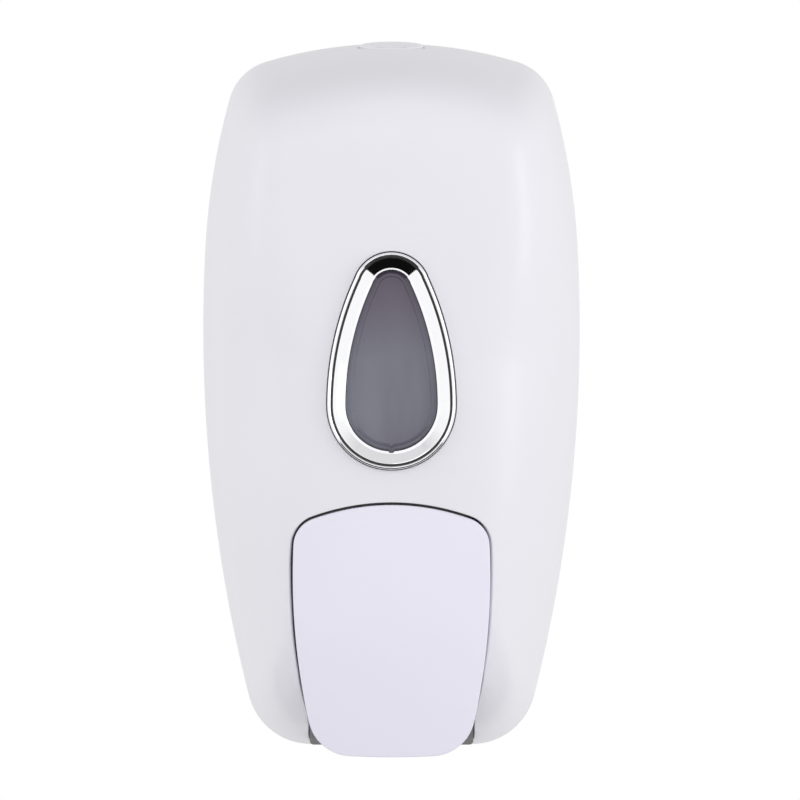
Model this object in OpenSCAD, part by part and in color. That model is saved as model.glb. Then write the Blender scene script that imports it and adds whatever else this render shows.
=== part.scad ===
// Wall mounted manual soap dispenser.
// Frame: +Z up, +X to the right seen from the front, the wall is the plane Y = 0 and the front faces -Y.
// The origin is the middle of the four wall screws, on the wall face. Millimetres.

/* [Cover] */
// Full width of the cover at its widest
cover_w = 119.6; // [118:0.2:122]
// Height of the cover, top edge to bottom edge
cover_h = 223; // [221:0.5:226]
// How far the front of the cover stands off the wall
cover_d = 100; // [99:0.5:101]
// Wall thickness of the cover
cover_wall = 2.4; // [2:0.1:2.8]
// Radius of the two top corners
cover_top_corner = 16.5; // [13:0.5:18]
// Radius of the two bottom corners
cover_bottom_corner = 20.5; // [17:0.5:22]

/* [Window] */
// Height of the middle of the window's wide end
window_z = 3.2; // [1:0.2:5]
// Outer radius of the bezel at its wide end
window_wide_r = 19.1; // [18:0.1:20]
// Outer radius of the bezel at its narrow end
window_narrow_r = 11.5; // [11:0.1:12]
// Distance between the middles of the two ends
window_span = 34; // [32:0.5:36]
// Radius of the bowed sides
window_side_r = 90.7; // [88:0.1:94]
// How far the lens lies inside the bezel's outline
lens_inset = 4.7; // [4.5:0.1:5]

/* [Push lever] */
// Half width of the lever at its widest
lever_half_w = 29.6; // [28.5:0.1:30]
// Height of the lever's top edge
lever_top = -26.5; // [-27:0.1:-26]
// Height of the lever's bottom edge
lever_bottom = -103; // [-104:0.1:-102.5]
// Gap between the lever and the cover
lever_gap = 0.7; // [0.6:0.05:0.9]
// Wall thickness of the lever
lever_wall = 2.5; // [2:0.1:3]
// How far the front of the lever stands off the wall
lever_front = 101.8; // [101:0.1:102.5]

/* [Lock] */
// Radius of the lock's face
lock_face_r = 9.8; // [9.5:0.1:10.5]
// Forward tilt of the lock's axis, which stands square to the cover's sloping top
lock_tilt = 7; // [6:0.5:8]
// Distance of the lock's axis from the wall
lock_from_wall = 27; // [26:0.5:28]

/* [Wall plate] */
// Thickness of the wall plate
plate_t = 3; // [2.5:0.1:3.2]
// Side to side distance of the wall screws
screw_span_x = 68; // [64:1:72]
// Top to bottom distance of the wall screws
screw_span_z = 130; // [120:1:134]
// Diameter of the wall screw holes
screw_hole_d = 5; // [4.5:0.1:5.5]

/* [Soap tank] */
// Width of the tank
tank_w = 84; // [80:1:86]
// Height of the underside of the tank
tank_bottom = -60; // [-60:0.5:-59]
// Height of the tank's top wall
tank_top = 50; // [48:0.5:50]
// Wall thickness of the tank
tank_wall = 2; // [1.6:0.1:2.4]

/* [Pump] */
// Distance of the pump's inlet and outlet from the wall
pump_from_wall = 46; // [45:0.5:47]
// Height of the plunger's axis
plunger_z = -84; // [-85:0.5:-83]
// Radius of the pump's bore
pump_bore_r = 6.5; // [6.3:0.1:6.6]
// Wire diameter of the return spring
spring_wire = 1; // [0.8:0.05:1.1]
// Turns of the return spring
spring_turns = 4; // [3.5:0.5:4]

/* [Hidden] */
$fn = 64;

half_h = cover_h / 2;
rim_y = 0.8;          // the cover's rear rim stops this far from the wall
run = 0.05;           // radial running clearance of every pin and sliding fit
eps = 0.01;

// The domed cover: its outline shrinks towards this height as it rises off the wall
dome_z = 14;
// How square the dome's shoulders are towards the top, the sides and the bottom
dome_top = 12;
dome_side = 4.4;
dome_bottom = 5;
// How straight the dome runs off the wall: 2 is round, less slopes from the start
dome_bow = 2;
dome_top_bow = 1.5;
outer_rings = 15;
inner_rings = 11;

// Tilt hinge of the cover, along X at the bottom of the wall plate
hinge_y = -5.5;
hinge_z = -107.5;
hinge_pin_r = 1.5;
hinge_lug_r = 3.2;
hinge_lug_x = 29;
hinge_lug_t = 2.6;
hinge_ear_t = 1.8;
hinge_ear_gap = 0.3;
hinge_notch_x = 33.2;

// Push lever pivot, along X behind the lever's top edge
pivot_y = -85;
pivot_z = -30;
lever_pin_r = 1.5;
lever_ear_x = 20;
lever_ear_t = 2.8;
lever_ear_r = 4.2;
bracket_t = 3;
bracket_x = lever_ear_x + lever_ear_t + 0.4;

// The lever's front is curved both ways
lever_crown_z = -55;
lever_curve_v = 210;
lever_curve_h = 133;
pad_y = -81.3;        // the pad's face, which pushes the plunger
pad_half = 7;

// Floor of the step in the cover that the bezel sits in
bezel_seat_y = -99.15;

// Lock
lock_y = -lock_from_wall;
lock_floor = 109;     // floor of the round recess in the cover, on the lock's axis
// Heights along the lock's axis, from the floor of its recess
lock_seat_bottom = -4.5;
lock_top = 1.75;
lock_body_r = 7;
lock_body_bottom = -7.5;
cam_t = 2;
cam_bottom = lock_body_bottom - cam_t;
keeper_z = 93.9;
keeper_t = 1.6;
keeper_half_w = 6;
keeper_lip_y = -18.2;

// Wall plate
plate_inset = 5;
plate_lip = 9;
plate_cut_z = -99;    // the plate's lower corners stop here, clear of the tilting cover
plate_tab_half_w = 22;

// Tray under the pump
tray_half_w = 25.2;
tray_bottom = -105.6;
tray_t = 2.2;

// Tank
tank_back = -7;
tank_front = -78;
tank_corner = 20;
neck_r = 13;
neck_bore_r = 10;
neck_end = tank_bottom - 6.5;
mouth_half_w = 30;
mouth_back = -27;
mouth_front = -55;
mouth_rim = 2.5;
mouth_rim_h = 4;
lid_axis_y = -18;
lid_axis_z = tank_top + 4.5;
lid_pin_r = 1.25;
lid_knuckle_half_w = 23.6;
lid_ear_t = 3;
lid_t = 2.5;
lid_gap = 0.5;
lid_under = tank_top + mouth_rim_h + 0.9;

// Pump
pump_y = -pump_from_wall;
flange_top = neck_end - 1.5;
flange_t = 2.5;
flange_r = 12;
tube_r = 6.5;
port_r = 3;
valve_flange_r = 4.9;
valve_seat_r = 5;
barrel_r = 9;
barrel_back = -40;
barrel_front = -62;
gland_front = -63.5;
outlet_seat_z = -93;
outlet_end = -99;
stem_r = 3.5;
head_back = -77.5;
head_front = -81;
head_dome_r = 12;

// ---------------------------------------------------------------- outlines
// An outline is a chain of circles [x, z, radius] from bottom to top, each tangent to the next.

// Middle of a circle that touches circles a and b from inside, to the left of the line from a to b
function touching(a, b, r) =
  let (d1 = a[2] - r, d2 = b[2] - r,
       step = [b[0] - a[0], b[1] - a[1]], d = norm(step),
       along = (d1 * d1 - d2 * d2 + d * d) / (2 * d),
       side = sqrt(d1 * d1 - along * along))
  [a[0] + (step[0] * along - step[1] * side) / d, a[1] + (step[1] * along + step[0] * side) / d, r];

// Direction in which neighbouring circles of a chain touch
function touch_angle(a, b) =
  let (d = a[2] > b[2] ? [b[0] - a[0], b[1] - a[1]] : [a[0] - b[0], a[1] - b[1]])
  atan2(d[1], d[0]);

// Right half of a chain's outline, bottom to top, moved inwards by inset
function half_outline(chain, counts, inset) =
  let (last = len(chain) - 1)
  [for (k = [0 : last])
    let (a0 = k == 0 ? -90 : touch_angle(chain[k - 1], chain[k]),
         a1 = k == last ? 90 : touch_angle(chain[k], chain[k + 1]),
         r = chain[k][2] - inset)
    for (i = [0 : counts[k] - (k == last ? 0 : 1)])
      let (a = a0 + (a1 - a0) * i / counts[k])
      [chain[k][0] + r * cos(a), chain[k][1] + r * sin(a)]];

// Both halves, counter-clockwise seen from the front
function full_outline(chain, counts, inset = 0) =
  let (right = half_outline(chain, counts, inset), n = len(right))
  concat(right, [for (i = [n - 2 : -1 : 1]) [-right[i][0], right[i][1]]]);

// Cover: flat bottom, corner, long side, shoulder, corner, arched top
side_r = 475;
side_z = 20;
cover_side = [cover_w / 2 - side_r, side_z, side_r];
shoulder_r = 220;
shoulder_angle = asin(28 / side_r);
cover_shoulder = [cover_side[0] + (side_r - shoulder_r) * cos(shoulder_angle),
                  cover_side[1] + (side_r - shoulder_r) * sin(shoulder_angle), shoulder_r];
top_arc_r = 140;
bottom_arc_r = 600;
cover_top_arc = [0, half_h - top_arc_r, top_arc_r];
cover_bottom_arc = [0, bottom_arc_r - half_h, bottom_arc_r];
cover_chain = [
  cover_bottom_arc,
  touching(cover_bottom_arc, cover_side, cover_bottom_corner),
  cover_side,
  cover_shoulder,
  touching(cover_shoulder, cover_top_arc, cover_top_corner),
  cover_top_arc];
cover_counts = [4, 6, 13, 4, 6, 6];

// Window: wide end, bowed side, narrow end
window_chain = [
  [0, window_z, window_wide_r],
  [window_wide_r - window_side_r, window_z, window_side_r],
  [0, window_z + window_span, window_narrow_r]];
window_counts = [14, 9, 12];

// Lever: bottom edge, corner, bowed side, corner, arched top edge
lever_bottom_arc = [0, lever_bottom + 300, 300];
lever_side = [lever_half_w - 209, -48, 209];
lever_top_arc = [0, lever_top - 67.2, 67.2];
lever_chain = [
  lever_bottom_arc,
  touching(lever_bottom_arc, lever_side, 12.9),
  lever_side,
  touching(lever_side, lever_top_arc, 9),
  lever_top_arc];
lever_counts = [4, 8, 10, 8, 8];

// ---------------------------------------------------------------- shared solids

// Children drawn about the lock's axis, with Z = 0 on the floor of its recess
module on_lock() {
  translate([0, lock_y, lock_floor]) rotate([lock_tilt, 0, 0]) children();
}

// A flat outline in X and Z, given depth from y_front to y_back
module along_y(y_front, y_back) {
  translate([0, y_back, 0]) rotate([90, 0, 0]) linear_extrude(y_back - y_front) children();
}

// A flat outline in Y and Z, given thickness from x0 to x1
module along_x(x0, x1) {
  translate([x0, 0, 0]) rotate([90, 0, 90]) linear_extrude(x1 - x0) children();
}

module rod_x(x0, x1, y, z, r) {
  translate([x0, y, z]) rotate([0, 90, 0]) cylinder(h = x1 - x0, r = r);
}

module rod_y(y_front, y_back, x, z, r) {
  translate([x, y_back, z]) rotate([90, 0, 0]) cylinder(h = y_back - y_front, r = r);
}

module rod_z(z0, z1, y, r) {
  translate([0, y, z0]) cylinder(h = z1 - z0, r = r);
}

module box(x0, x1, y0, y1, z0, z1) {
  translate([x0, y0, z0]) cube([x1 - x0, y1 - y0, z1 - z0]);
}

module both_sides() {
  children();
  mirror([1, 0, 0]) children();
}

// An ear that carries a pin: a round end and a straight foot
module ear(pin_y, pin_z, r, foot) {
  union() {
    translate([pin_y, pin_z]) circle(r);
    polygon(foot);
  }
}

// Rounded rectangle in X and Y, from true arcs
module rounded_plan(x, y_front, y_back, r_front, r_back) {
  union() {
    translate([-x, y_front + r_front]) square([2 * x, y_back - r_back - y_front - r_front]);
    translate([-x + r_front, y_front]) square([2 * (x - r_front), r_front + eps]);
    translate([-x + r_back, y_back - r_back - eps]) square([2 * (x - r_back), r_back + eps]);
    for (s = [-1, 1]) {
      translate([s * (x - r_front), y_front + r_front]) circle(r_front);
      translate([s * (x - r_back), y_back - r_back]) circle(r_back);
    }
  }
}

// Faces of a grid of points, rings of n points each, from ring row0 to ring row1
function band(n, row0, row1, flip) =
  [for (i = [0 : n - 1])
    let (k = (i + 1) % n, a = row0 * n + i, b = row0 * n + k, c = row1 * n + k, d = row1 * n + i)
    each (flip ? [[a, b, c], [a, c, d]] : [[a, d, c], [a, c, b]])];

// A closed ring that follows an outline; profile is a loop of [inset, y]
module swept_ring(chain, counts, profile) {
  n = len(full_outline(chain, counts));
  rows = len(profile);
  points = [for (p = profile) each [for (q = full_outline(chain, counts, p[0])) [q[0], p[1], q[1]]]];
  faces = [for (j = [0 : rows - 1])
    each [for (i = [0 : n - 1])
      let (k = (i + 1) % n, m = (j + 1) % rows, a = j * n + i, b = j * n + k, c = m * n + k, d = m * n + i)
      each [[a, d, c], [a, c, b]]]];
  polyhedron(points = points, faces = faces, convexity = 6);
}

// ---------------------------------------------------------------- cover

// How square the dome is in the direction of outline point q
function dome_power(q) =
  let (s = (q[1] - dome_z) / norm([q[0], q[1] - dome_z]))
  dome_side + (s > 0 ? dome_top - dome_side : dome_bottom - dome_side) * s * s;

function dome_bow_at(q) =
  let (s = (q[1] - dome_z) / norm([q[0], q[1] - dome_z]))
  s > 0 ? dome_bow + (dome_top_bow - dome_bow) * s * s : dome_bow;

// One ring of the dome: the outline drawn in, at the share t of the full depth
function dome_ring(outline, depth, t) =
  [for (q = outline)
    let (r = pow(1 - pow(t, dome_bow_at(q)), 1 / dome_power(q)))
    [q[0] * r, -rim_y - (depth - rim_y) * t, dome_z + (q[1] - dome_z) * r]];

function dome_share(j, rings) = sin(88 * j / rings);

module cover_shell() {
  outline = full_outline(cover_chain, cover_counts);
  inner = full_outline(cover_chain, cover_counts, cover_wall);
  n = len(outline);
  points = concat(
    [for (j = [0 : outer_rings]) each dome_ring(outline, cover_d, dome_share(j, outer_rings))],
    [for (j = [0 : inner_rings]) each dome_ring(inner, cover_d - cover_wall, dome_share(j, inner_rings))],
    [[0, -cover_d, dome_z], [0, cover_wall - cover_d, dome_z]]);
  first_inner = outer_rings + 1;
  last_inner = first_inner + inner_rings;
  tip = (last_inner + 1) * n;
  faces = concat(
    [for (j = [0 : outer_rings - 1]) each band(n, j, j + 1, false)],
    [for (j = [first_inner : last_inner - 1]) each band(n, j, j + 1, true)],
    band(n, 0, first_inner, true),
    [for (i = [0 : n - 1]) [outer_rings * n + i, tip, outer_rings * n + (i + 1) % n]],
    [for (i = [0 : n - 1]) [last_inner * n + i, last_inner * n + (i + 1) % n, tip + 1]]);
  polyhedron(points = points, faces = faces, convexity = 10);
}

// The cut-out for the lever: the lever's outline plus the gap, then straight down
cutout_half_w = 25.5;
cutout_straight_z = -92;
module lever_cutout() {
  right = half_outline(lever_chain, lever_counts, -lever_gap);
  kept = [for (q = right) if (q[1] > cutout_straight_z) q];
  all = concat([[cutout_half_w, -120], [cutout_half_w, cutout_straight_z]], kept);
  polygon(concat(all, [for (i = [len(all) - 1 : -1 : 0]) [-all[i][0], all[i][1]]]));
}

// The cover before its bores
module cover_form() {
  union() {
    difference() {
      cover_shell();
      along_y(-cover_d - 5, -60) polygon(full_outline(window_chain, window_counts, 1));
      // shallow step that the bezel sits in
      along_y(-cover_d - 5, bezel_seat_y) polygon(full_outline(window_chain, window_counts, -0.3));
      along_y(-cover_d - 5, 1) lever_cutout();
      // notch in the bottom rear edge, clear of the wall plate's hinge ears
      both_sides() box(24, hinge_notch_x, -10, 1, -113, -96);
      // lowest part of the rear edge, cut back so that it swings clear of the wall
      both_sides() box(hinge_notch_x - eps, 60, -2.6, 1, -113, -103.5);
      on_lock() rod_z(lock_seat_bottom, 6, 0, lock_face_r + 0.8);
    }
    // seat for the lock
    on_lock() rod_z(lock_seat_bottom, 0, 0, lock_face_r + 2);
    both_sides() {
      along_x(hinge_lug_x - hinge_lug_t / 2, hinge_lug_x + hinge_lug_t / 2)
        ear(hinge_y, hinge_z, hinge_lug_r,
            [[-16, -110], [hinge_y, hinge_z - hinge_lug_r], [hinge_y, hinge_z + hinge_lug_r], [-16, -103]]);
      // bracket that carries the lever's pin
      along_x(bracket_x, bracket_x + bracket_t)
        ear(pivot_y, pivot_z, lever_ear_r,
            [[-97.6, -6], [-97.6, -22], [-89.2, -24.2], [pivot_y - lever_ear_r, pivot_z],
             [pivot_y + lever_ear_r, pivot_z], [pivot_y + lever_ear_r, -22]]);
    }
  }
}

module front_cover() {
  pin_clear_r = hinge_pin_r + run;
  color("white") difference() {
    resize([0, 0, 0]) cover_form();
    on_lock() rod_z(lock_seat_bottom - 1, 1, 0, lock_body_r);
    both_sides() {
      rod_x(24, ear_outer_x0, hinge_y, hinge_z, pin_clear_r);
      rod_x(bracket_x - 1, bracket_x + bracket_t + 1, pivot_y, pivot_z, lever_pin_r);
    }
  }
}

// ---------------------------------------------------------------- window

// Chromed bezel: a rolled rim, a groove, and a wide band sloping in to the lens
bezel_profile = [
  [0, bezel_seat_y - 0.15], [0, -101.2], [0.2, -101.7], [0.6, -101.9], [1, -101.75], [1.2, -101.3],
  [1.25, -101], [1.75, -101], [1.85, -101.4], [2.1, -101.6], [4.75, -100], [5.2, -99.7],
  [5.4, -97.6], [5.4, -96.6], [1.2, -96.6], [1.2, bezel_seat_y - 0.15]];

module window_bezel() {
  color("silver") swept_ring(window_chain, window_counts, bezel_profile);
}

module window_lens() {
  color([0.35, 0.35, 0.38, 0.6]) union() {
    along_y(-96.5, -94.9) polygon(full_outline(window_chain, window_counts, lens_inset - 2));
    along_y(-97.1, -96.4) polygon(full_outline(window_chain, window_counts, lens_inset + 1));
  }
}

// ---------------------------------------------------------------- push lever

// Solid inside the lever's curved front, drawn in by inset, turned about a line along X behind it
module lever_front_solid(inset) {
  turn_y = lever_curve_v - lever_front;
  steps = 20;
  x_max = 34;
  arc = [for (i = [0 : steps])
    let (x = -x_max + 2 * x_max * i / steps)
    [lever_curve_v - lever_curve_h + sqrt(lever_curve_h * lever_curve_h - x * x) - inset, x]];
  translate([0, turn_y, lever_crown_z]) rotate([0, 90, 0])
    rotate([0, 0, 180 + 22]) rotate_extrude(angle = 136, $fn = 180)
      polygon(concat([[120, -x_max]], arc, [[120, x_max]]));
}

// Straight slant that ends the lever's side walls
lever_skirt_top_y = -91;
lever_skirt_bottom_y = -83;

module push_lever() {
  clear_r = lever_pin_r + run;
  color("white") difference() {
    union() {
      // front face
      intersection() {
        along_y(-110, -88) polygon(full_outline(lever_chain, lever_counts));
        difference() {
          lever_front_solid(0);
          lever_front_solid(lever_wall);
        }
      }
      // side walls
      intersection() {
        along_y(-110, -80) difference() {
          polygon(full_outline(lever_chain, lever_counts));
          polygon(full_outline(lever_chain, lever_counts, 2));
        }
        lever_front_solid(lever_wall / 2);
        along_x(-35, 35) polygon([[-110, lever_top + 1], [lever_skirt_top_y, lever_top + 1],
                                  [lever_skirt_bottom_y, lever_bottom - 1], [-110, lever_bottom - 1]]);
      }
      // ears on the pin
      intersection() {
        both_sides() along_x(lever_ear_x, lever_ear_x + lever_ear_t)
          ear(pivot_y, pivot_z, lever_ear_r,
              [[-103, lever_top - 6], [-93, lever_top - 6], [pivot_y, pivot_z + lever_ear_r],
               [pivot_y + lever_ear_r, pivot_z], [-92, -46], [-103, -50]]);
        lever_front_solid(lever_wall / 2);
      }
      // pad on ribs, which meets the plunger
      intersection() {
        union() {
          box(-pad_half, pad_half, pad_y - 2.4, pad_y, plunger_z - pad_half, plunger_z + pad_half);
          for (x = [-pad_half, -1, pad_half - 2])
            box(x, x + 2, -103, pad_y - 1, plunger_z - pad_half, plunger_z + pad_half);
          box(-1, 1, -103, -91, plunger_z, -46);
        }
        lever_front_solid(lever_wall / 2);
      }
    }
    rod_x(-35, 35, pivot_y, pivot_z, clear_r);
  }
}

module lever_pin() {
  half = bracket_x + bracket_t;
  color("lightgray") rod_x(-half, half, pivot_y, pivot_z, lever_pin_r);
}

// ---------------------------------------------------------------- lock

module lock_barrel() {
  color("whitesmoke") on_lock() difference() {
    union() {
      rod_z(0.05, lock_top - 0.35, 0, lock_face_r);
      translate([0, 0, lock_top - 0.35]) cylinder(h = 0.35, r1 = lock_face_r, r2 = lock_face_r - 0.35);
      rod_z(lock_body_bottom, 0.1, 0, lock_body_r - run);
    }
    // dished face with a slot for the service key
    translate([0, 0, lock_top + 32]) sphere(r = 33, $fn = 96);
    box(-4.5, 4.5, -1.1, 1.1, lock_top - 4, lock_top + 1);
    rod_z(lock_body_bottom - 1, lock_body_bottom + 4.5, 0, 1.25);
  }
}

// Cam under the lock: a quarter turn brings its lug behind the keeper's lip
module lock_cam() {
  color("whitesmoke") on_lock() difference() {
    union() {
      rod_z(cam_bottom, lock_body_bottom, 0, 6);
      box(0, 13, -4, 4, cam_bottom, lock_body_bottom);
      box(9, 13, -4, 4, cam_bottom - 3.6, cam_bottom + eps);
    }
    rod_z(cam_bottom - 1, lock_body_bottom + 1, 0, 1.6);
  }
}

module lock_screw() {
  color("silver") on_lock() difference() {
    union() {
      rod_z(cam_bottom - 1.5, cam_bottom, 0, 2.8);
      rod_z(cam_bottom - eps, lock_body_bottom + 4, 0, 1.25);
    }
    for (a = [0, 90]) translate([0, 0, cam_bottom - 1.5]) rotate([0, 0, a])
      cube([3.4, 0.7, 1.4], center = true);
  }
}

// ---------------------------------------------------------------- wall plate

module plate_outline(inset) {
  difference() {
    polygon(full_outline(cover_chain, cover_counts, inset));
    // lower corners cut away
    for (s = [-1, 1]) translate([s > 0 ? plate_tab_half_w : -70, -120])
      square([70 - plate_tab_half_w, 120 + plate_cut_z]);
  }
}

ear_inner_x0 = hinge_lug_x - hinge_lug_t / 2 - hinge_ear_gap - hinge_ear_t;
ear_outer_x0 = hinge_lug_x + hinge_lug_t / 2 + hinge_ear_gap;

module back_plate() {
  color("gainsboro") difference() {
    union() {
      along_y(-plate_t, 0) plate_outline(plate_inset);
      along_y(-plate_lip, 0) difference() {
        plate_outline(plate_inset);
        polygon(full_outline(cover_chain, cover_counts, plate_inset + 2));
        translate([-70, -120]) square([140, 20]);
      }
      // thick pads around the wall screws
      for (x = [-1, 1], z = [-1, 1])
        rod_y(-plate_t - 2, 0, x * screw_span_x / 2, z * screw_span_z / 2, 6.5);
      // guides for the tank's rails, with a stop under each rail
      both_sides() {
        for (x = [13.2, 20.3]) box(x, x + 2.4, -6.4, -1, -48, 30);
        box(13.2, 22.7, -6.4, -1, -51, -48);
      }
      // hinge ears
      both_sides() for (x = [ear_inner_x0, ear_outer_x0]) along_x(x, x + hinge_ear_t)
        ear(hinge_y, hinge_z, hinge_lug_r - 0.2,
            [[hinge_y - hinge_lug_r + 0.2, hinge_z], [hinge_y + hinge_lug_r - 0.2, hinge_z],
             [-0.6, -100], [-0.6, -92], [-plate_t, -92], [hinge_y - hinge_lug_r + 0.2, -101]]);
      // bosses for the tray's screws
      both_sides() rod_y(-plate_t - 4, 0, 15, -84, 3.6);
      // root of the keeper
      box(-keeper_half_w - 2, keeper_half_w + 2, -6, -1, keeper_z - 2, keeper_z + keeper_t + 2);
    }
    for (x = [-1, 1], z = [-1, 1])
      rod_y(-20, 1, x * screw_span_x / 2, z * screw_span_z / 2, screw_hole_d / 2);
    both_sides() rod_y(-20, -1, 15, -84, 1.4);
    both_sides() rod_x(ear_inner_x0 - 1, ear_outer_x0 + hinge_ear_t + 1, hinge_y, hinge_z, hinge_pin_r);
    box(-keeper_half_w, keeper_half_w, -20, -2, keeper_z, keeper_z + keeper_t);
  }
}

// Shelf with an upright lip; the turned cam's lug sits behind the lip and locks the cover
module lock_keeper() {
  color("gainsboro") union() {
    box(-keeper_half_w, keeper_half_w, keeper_lip_y - 2.9, -2, keeper_z, keeper_z + keeper_t);
    box(-4, 4, keeper_lip_y - 2.9, keeper_lip_y, keeper_z, keeper_z + keeper_t + 3.4);
  }
}

module hinge_pins() {
  color("lightgray") both_sides()
    rod_x(ear_inner_x0, ear_outer_x0 + hinge_ear_t, hinge_y, hinge_z, hinge_pin_r);
}

// ---------------------------------------------------------------- tray under the pump

// The tray seen from the front: its two lower corners are rounded
module tray_front_view() {
  r = 1.2;
  union() {
    translate([-tray_half_w, tray_bottom + r]) square([2 * tray_half_w, 40]);
    translate([r - tray_half_w, tray_bottom]) square([2 * (tray_half_w - r), r + eps]);
    for (s = [-1, 1]) translate([s * (tray_half_w - r), tray_bottom + r]) circle(r);
  }
}

module base_tray() {
  color("dimgray") difference() {
    intersection() {
      along_y(-70, 0) tray_front_view();
      union() {
        // floor and slanting front lip
        along_x(-tray_half_w, tray_half_w)
          polygon([[-3.05, tray_bottom], [-52, tray_bottom], [-59, -102.4], [-63, -97.5], [-61, -96.6],
                   [-57.4, -100.8], [-51.4, tray_bottom + tray_t], [-3.05, tray_bottom + tray_t]]);
        // side lips
        both_sides() along_x(tray_half_w - 2, tray_half_w)
          polygon([[-3.05, tray_bottom], [-52, tray_bottom], [-59, -102.4], [-63, -97.5],
                   [-61, -96.6], [-3.05, -97]]);
        // flange on the wall plate
        box(-21, 21, -9, -7.05, tray_bottom, -78);
        box(-21, 21, -9, -3.05, tray_bottom, -99);
      }
    }
    rod_z(-110, -100, pump_y, 9.6);
    both_sides() rod_y(-20, 0, 15, -84, 1.7);
  }
}

module tray_screws() {
  color("silver") both_sides() difference() {
    union() {
      rod_y(-10.6, -9.02, 15, -84, 3);
      rod_y(-9.1, -1.5, 15, -84, 1.35);
    }
    for (a = [0, 90]) translate([15, -10.6, -84]) rotate([0, a, 0]) cube([3.6, 1.4, 0.7], center = true);
  }
}

// ---------------------------------------------------------------- soap tank

module soap_tank() {
  rim_x = mouth_half_w + mouth_rim;
  color([0.9, 0.92, 0.95, 0.6]) difference() {
    union() {
      translate([0, 0, tank_bottom]) linear_extrude(tank_top - tank_bottom)
        rounded_plan(tank_w / 2, tank_front, tank_back, tank_corner, 6);
      rod_z(neck_end, tank_bottom + eps, pump_y, neck_r);
      // raised rim of the filling mouth
      box(-rim_x, rim_x, mouth_front - mouth_rim, mouth_back + mouth_rim,
          tank_top - eps, tank_top + mouth_rim_h);
      // ears of the lid's hinge
      both_sides() along_x(lid_knuckle_half_w + 0.4, lid_knuckle_half_w + 0.4 + lid_ear_t)
        ear(lid_axis_y, lid_axis_z, 3,
            [[lid_axis_y - 3, lid_axis_z], [lid_axis_y + 3, lid_axis_z],
             [lid_axis_y + 5, tank_top - 1], [lid_axis_y - 5, tank_top - 1]]);
      // rails that slide into the wall plate's guides
      both_sides() box(15.9, 20, -7.5, -3.3, -47.8, 30);
    }
    translate([0, 0, tank_bottom + tank_wall]) linear_extrude(tank_top - tank_bottom - 2 * tank_wall)
      rounded_plan(tank_w / 2 - tank_wall, tank_front + tank_wall, tank_back - tank_wall,
                   tank_corner - tank_wall, 6 - tank_wall);
    rod_z(neck_end - 1, tank_bottom + tank_wall + 1, pump_y, neck_bore_r);
    box(-mouth_half_w, mouth_half_w, mouth_front, mouth_back,
        tank_top - tank_wall - 1, tank_top + mouth_rim_h + 1);
    rod_x(-30, 30, lid_axis_y, lid_axis_z, lid_pin_r);
  }
}

module tank_lid() {
  x = mouth_half_w + mouth_rim + lid_gap;
  front = mouth_front - mouth_rim - lid_gap;
  color("white") difference() {
    union() {
      box(-x - 2, x + 2, front - 2, lid_axis_y - 4, lid_under, lid_under + lid_t);
      // skirt on three sides
      difference() {
        box(-x - 2, x + 2, front - 2, lid_axis_y - 6, tank_top + 0.6, lid_under + eps);
        box(-x, x, front, lid_axis_y, tank_top, lid_under + 1);
      }
      // lifting tab
      box(-9, 9, front - 4, front - 1, lid_under, lid_under + lid_t);
      along_x(-lid_knuckle_half_w, lid_knuckle_half_w)
        ear(lid_axis_y, lid_axis_z, 2.8,
            [[lid_axis_y - 4.5, lid_under], [lid_axis_y - 4.5, lid_under + lid_t],
             [lid_axis_y, lid_under + lid_t - 0.1], [lid_axis_y, lid_under - 0.4]]);
    }
    rod_x(-40, 40, lid_axis_y, lid_axis_z, lid_pin_r + run);
  }
}

module lid_gasket() {
  x = mouth_half_w + mouth_rim;
  color("dimgray") difference() {
    box(-x, x, mouth_front - mouth_rim, mouth_back + mouth_rim, lid_under - 0.85, lid_under - 0.02);
    box(-x + 3.2, x - 3.2, mouth_front + 0.7, mouth_back - 0.7, lid_under - 2, lid_under + 1);
  }
}

module lid_pin() {
  half = lid_knuckle_half_w + 0.4 + lid_ear_t;
  color("lightgray") rod_x(-half, half, lid_axis_y, lid_axis_z, lid_pin_r);
}

// ---------------------------------------------------------------- pump

// A turned part about the pump's upright axis; profile is [radius, z]
module turned_z(profile) {
  translate([0, pump_y, 0]) rotate_extrude() polygon(profile);
}

// A turned part about the plunger's axis; profile is [radius, distance from the wall]
module turned_y(profile) {
  translate([0, 0, plunger_z]) rotate([90, 0, 0]) rotate_extrude() polygon(profile);
}

module collar_nut() {
  bottom = flange_top - flange_t - 2;
  grips = 24;
  color("white") difference() {
    turned_z([[neck_r + run, -61.5], [17, -61.5], [17, bottom + 1], [16, bottom], [9, bottom],
              [9, flange_top - flange_t - run], [flange_r + 0.2, flange_top - flange_t - run],
              [flange_r + 0.2, flange_top], [neck_r + run, flange_top]]);
    // grip grooves
    for (i = [0 : grips - 1]) translate([0, pump_y, 0]) rotate([0, 0, i * 360 / grips])
      translate([17.5, 0, bottom + 1.5]) cylinder(h = 11, r = 0.9, $fn = 24);
  }
}

module neck_gasket() {
  color("dimgray") turned_z([[9, flange_top + 0.02], [12.9, flange_top + 0.02],
                             [12.9, neck_end - 0.02], [9, neck_end - 0.02]]);
}

module pump_body() {
  color("white") difference() {
    union() {
      rod_z(flange_top - flange_t, flange_top, pump_y, flange_r);
      rod_z(plunger_z, flange_top - flange_t + eps, pump_y, tube_r);
      rod_y(barrel_front, barrel_back, 0, plunger_z, barrel_r);
      rod_z(outlet_end, plunger_z, pump_y, tube_r);
    }
    rod_z(plunger_z, flange_top + 1, pump_y, port_r);
    rod_z(flange_top - 4, flange_top + 1, pump_y, valve_seat_r);
    rod_y(barrel_front - 1, barrel_back - 2, 0, plunger_z, pump_bore_r);
    rod_z(outlet_seat_z - 1, plunger_z, pump_y, port_r);
    rod_z(outlet_end - 1, outlet_seat_z, pump_y, valve_seat_r);
  }
}

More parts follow.
